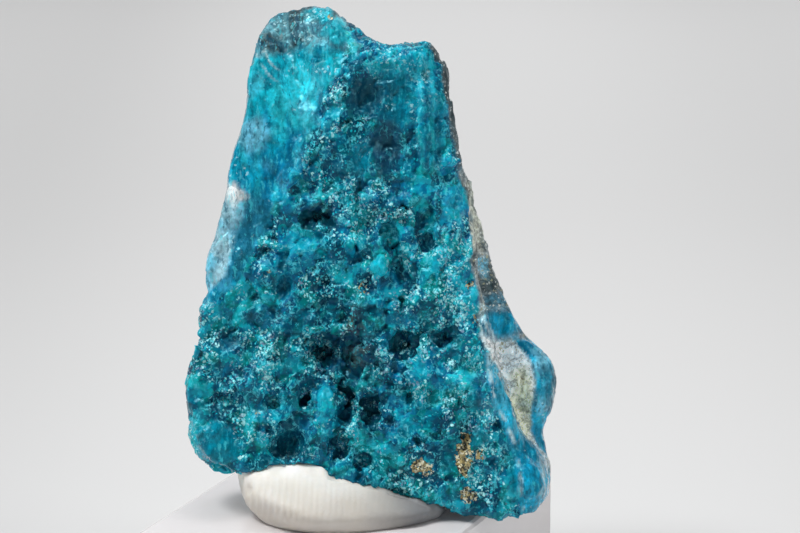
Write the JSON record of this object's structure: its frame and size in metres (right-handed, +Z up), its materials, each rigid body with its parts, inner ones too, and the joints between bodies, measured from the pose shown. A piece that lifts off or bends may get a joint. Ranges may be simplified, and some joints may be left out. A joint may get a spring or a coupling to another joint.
{
  "type": "mineral specimen",
  "caption": "blue-green chrysocolla specimen with a crusty pitted front, a glassy side facet and a seam of host rock, held upright by white display putty on a clear block",
  "frame": {"origin": "centre of the block's underside, where it rests on a table", "axes": "+Z up; the stone's rough front faces -Y, and the block is turned under it by about 21 degrees"},
  "size_m": [0.0324, 0.0378, 0.0479],
  "materials": {
    "chrysocolla": "glassy to crusty blue-green stone with darker pools, pale sparkling grains and sandy brown host rock at its right edge",
    "putty": "warm white kneaded putty with fine pressed ridges",
    "clear_acrylic": "polished clear acrylic with a faint rosy tint"
  },
  "bodies": {
    "root": {"chrysocolla_stone": "chrysocolla", "display_putty": "putty", "acrylic_block": "clear_acrylic"}
  },
  "joints": []
}
